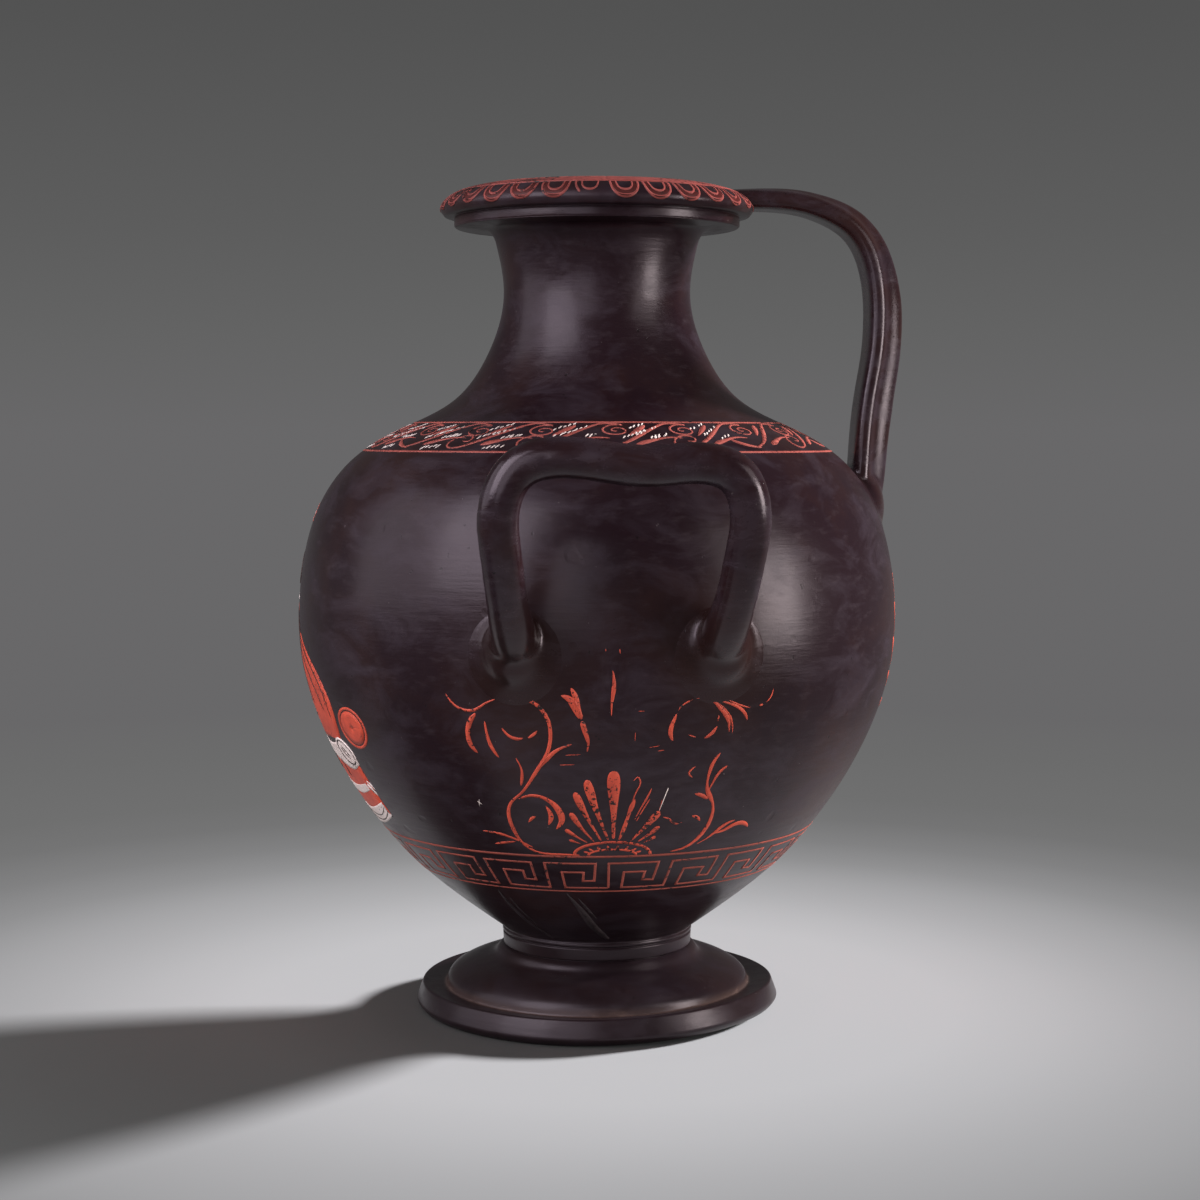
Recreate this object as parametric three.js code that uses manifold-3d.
// A Greek hydria, a three-handled water jar of black-slipped clay, fired as one piece.
// Millimetres, +Z up. The axis of the pot is Z and it stands on the ring under its foot at z = 0.
// The main picture faces -Y, the tall pouring handle is at +Y, and the two lifting handles are at +X and -X.

import * as THREE from "three";
import { mergeVertices } from "three/addons/utils/BufferGeometryUtils.js";
import Module from "manifold-3d";

// ---- driving dimensions ----

const HEIGHT = 401; // standing plane to the top of the lip
const WALL = 6; // thickness of the thrown wall
const BELLY = { r: 145.5, z: 195.5 };
const NECK = { r: 45.4, z: 350.5 };
const LIP = { r: 76, z: 390.6, top: 59, mouth: 54 }; // the widest ring, the rim above it and the opening
const FILLET = { r: 69.3, low: 382, high: 386.6 }; // the plain band under the lip
const FOOT = { r: 89.6, rim: 12.5, crease: 10.8, ring: 77, recess: 17 };
const DOME = { r: 49.5, z: 22.1, foot: 74.9 }; // the quarter-round on the foot
const COLLAR = { r: 46.6, z: 39.2 }; // the narrow band between foot and belly

const BAR = { out: 181, z: 269.5, r: 9 }; // the round bar of a lifting handle, its distance out from the axis
const GRIP = 52; // half the distance between the two legs of a lifting handle, near its top
const ROOT = { y: 45.5, z: 192.5, spread: 16.5 }; // where a leg is smeared onto the belly

const STRAP = { width: 27, depth: 10, r: 137.6 }; // the pouring handle's flat strap
const RIDGE = { r: 6.2, out: 144.2 }; // the rounded ridge along the strap's back

const SEGMENTS = 46; // around the pot

// ---- solids ----

const wasm = await Module();
wasm.setup();

function solid(geometry) {
  geometry.deleteAttribute("normal");
  geometry.deleteAttribute("uv");
  const merged = mergeVertices(geometry, 1e-3);
  const index = merged.index.array;
  const corners = [];
  for (let i = 0; i < index.length; i += 3) {
    const [a, b, c] = index.slice(i, i + 3);
    if (a !== b && b !== c && c !== a) corners.push(a, b, c); // a lathe's ring on the axis folds to one point
  }
  const mesh = new wasm.Mesh({
    numProp: 3,
    vertProperties: new Float32Array(merged.attributes.position.array),
    triVerts: new Uint32Array(corners),
  });
  return new wasm.Manifold(mesh);
}

function turned(outline) {
  const geometry = new THREE.LatheGeometry(outline, SEGMENTS);
  return solid(geometry.rotateX(Math.PI / 2));
}

function swept(section, route, steps) {
  const path = new THREE.CatmullRomCurve3(route);
  return solid(new THREE.ExtrudeGeometry(section, { steps, curveSegments: 5, extrudePath: path }));
}

function pad(x, y, z, radii) {
  const geometry = new THREE.SphereGeometry(1, 12, 6);
  return solid(geometry.scale(...radii).translate(x, y, z));
}

// ---- the turned pot ----

const at = (r, z) => new THREE.Vector2(r, z);

// The thrown wall from the collar over the belly and shoulder to the top of the neck.
const wall = new THREE.SplineCurve([
  at(COLLAR.r, COLLAR.z + 1),
  at(69, 56.8),
  at(90, 74.7),
  at(108.2, 95.5),
  at(123.5, 118.5),
  at(135.6, 143.3),
  at(143.3, 169),
  at(BELLY.r, BELLY.z),
  at(142.7, 224),
  at(134, 250.5),
  at(118.6, 270.5),
  at(92.4, 286.2),
  at(68.6, 299.5),
  at(53.2, 321),
  at(NECK.r, NECK.z),
  at(49.4, 375.5),
]);
const WALL_STEPS = 22;

// A point of the wall's inner face: the outer point moved in along the outline's normal.
function inside(t) {
  const tangent = wall.getTangent(t);
  return wall.getPoint(t).add(at(-tangent.y, tangent.x).multiplyScalar(WALL));
}

function arc(cx, cz, rx, rz, from, to, steps) {
  const curve = new THREE.EllipseCurve(cx, cz, rx, rz, from, to, to < from);
  return curve.getPoints(steps);
}

function footOutline() {
  return [
    at(0, FOOT.recess),
    at(42, FOOT.recess - 2),
    at(FOOT.ring - 6, 7),
    at(FOOT.ring, 0),
    at(FOOT.r - 3, 0),
    at(FOOT.r, 3.4),
    at(FOOT.r - 3.3, FOOT.rim),
    ...arc(DOME.r, FOOT.crease, DOME.foot - DOME.r, DOME.z - FOOT.crease, 0, Math.PI / 2, 4),
    ...arc(DOME.r - 3, 26, 4.3, 3.9, -Math.PI / 2, Math.PI / 2, 3), // the small roll above the dome
    at(COLLAR.r, 31),
    at(COLLAR.r, COLLAR.z),
  ];
}

// The swelling outer face of the lip, which carries the painted eggs, from its rim down to its lower edge.
const eggBand = new THREE.SplineCurve([
  at(LIP.top, HEIGHT),
  at(68.5, 398.4),
  at(74.2, 394.5),
  at(LIP.r, LIP.z),
  at(74.4, 388),
]);

function lipOutline() {
  return [
    at(57, FILLET.low - 1.4),
    at(FILLET.r, FILLET.low),
    at(FILLET.r, FILLET.high),
    ...eggBand.getPoints(6).reverse(),
    at(LIP.mouth, HEIGHT),
  ];
}

const outer = [
  ...footOutline(),
  ...wall.getPoints(WALL_STEPS),
  ...lipOutline(),
  at(0, HEIGHT),
];
const pot = turned(outer);

// The hollow follows the wall between these two shares of its length.
const FLOOR_STEP = 0.04;
const MOUTH_STEP = 0.995;
const HOLLOW_STEPS = 15;
const hollow = [at(0, COLLAR.z + WALL + 2)];
for (let i = 0; i <= HOLLOW_STEPS; i += 1) {
  hollow.push(inside(THREE.MathUtils.lerp(FLOOR_STEP, MOUTH_STEP, i / HOLLOW_STEPS)));
}
hollow.push(at(47, FILLET.high), at(LIP.mouth, HEIGHT + 0.01), at(LIP.mouth, HEIGHT + 20), at(0, HEIGHT + 20));
const cavity = turned(hollow);

// ---- the two lifting handles ----

// side is +1 for the handle at +X and -1 for the one at -X, which is the same handle turned half round.
function liftingHandle(side) {
  const place = (x, y, z) => new THREE.Vector3(side * x, side * y, z);
  const leg = [
    [BELLY.r - 10, ROOT.y - 2, ROOT.z - 9],
    [BELLY.r + 1, ROOT.y, ROOT.z],
    [BAR.out - 21, ROOT.y + 2.5, ROOT.z + 18],
    [BAR.out - 8, GRIP - 1, ROOT.z + 40],
    [BAR.out - 1.5, GRIP, BAR.z - 18],
  ];
  const bar = [
    [BAR.out - 0.5, -GRIP + 8, BAR.z - 1.5],
    [BAR.out, -GRIP / 2, BAR.z + 3.4],
    [BAR.out, GRIP / 5, BAR.z - 0.3],
    [BAR.out, GRIP * 0.6, BAR.z + 1],
    [BAR.out - 0.5, GRIP - 6, BAR.z - 4],
  ];
  const left = leg.map(([x, y, z]) => place(x, -y, z));
  const right = leg.map(([x, y, z]) => place(x, y, z)).reverse();
  const route = [...left, ...bar.map(([x, y, z]) => place(x, y, z)), ...right];
  const section = new THREE.Shape().absarc(0, 0, BAR.r, 0, 2 * Math.PI);
  const rod = swept(section, route, 36);
  const radii = [9, ROOT.spread, ROOT.spread + 0.5];
  const pads = [-ROOT.y, ROOT.y].map((y) => pad(side * (BELLY.r - 8), side * y, ROOT.z - 2, radii));
  return rod.add(pads[0]).add(pads[1]);
}

// ---- the pouring handle ----

function pouringHandle() {
  const place = ([y, z]) => new THREE.Vector3(0, y, z);
  const half = STRAP.width / 2;
  const edge = STRAP.depth / 2;
  const band = new THREE.Shape()
    .moveTo(-half + 2, -edge)
    .lineTo(half - 2, -edge)
    .quadraticCurveTo(half + 1, 0, half - 2, edge)
    .lineTo(-half + 2, edge)
    .quadraticCurveTo(-half - 1, 0, -half + 2, -edge);
  const strapRoute = [
    [62, HEIGHT - 6.6],
    [84, HEIGHT - 5.5],
    [106, HEIGHT - 9],
    [125, HEIGHT - 20],
    [STRAP.r - 2, HEIGHT - 39],
    [STRAP.r, HEIGHT - 69],
    [STRAP.r - 4, 300.5],
    [STRAP.r - 7, 270.5],
    [STRAP.r - 8.5, 252.5],
  ];
  const ridgeRoute = [
    [78, HEIGHT - 7.5],
    [99, HEIGHT - 6.4],
    [118, HEIGHT - 11.6],
    [134.5, HEIGHT - 25.4],
    [RIDGE.out - 3, HEIGHT - 42],
    [RIDGE.out, HEIGHT - 66],
    [RIDGE.out - 2.6, 303.5],
    [RIDGE.out - 7.6, 273.5],
    [RIDGE.out - 10, 252.5],
    [RIDGE.out - 10, 238.5],
  ];
  const round = new THREE.Shape().absarc(0, 0, RIDGE.r, 0, 2 * Math.PI);
  const strap = swept(band, strapRoute.map(place), 24);
  const ridge = swept(round, ridgeRoute.map(place), 24);
  return strap.add(ridge).add(pad(0, 133, 245.5, [16, 8, 17]));
}

// ---- one fired pot ----

const clay = pot.add(liftingHandle(1)).add(liftingHandle(-1)).add(pouringHandle()).subtract(cavity);

const { vertProperties, triVerts } = clay.getMesh();
const fired = new THREE.BufferGeometry();
fired.setAttribute("position", new THREE.BufferAttribute(vertProperties, 3));
fired.setIndex(new THREE.BufferAttribute(triVerts, 1));
fired.computeVertexNormals();

const blackSlip = new THREE.MeshStandardMaterial({ color: 0x231e21, roughness: 0.38, metalness: 0 });
const hydria = new THREE.Mesh(fired, blackSlip);
hydria.name = "hydria";

const group = new THREE.Group();
group.add(hydria);

export default group;
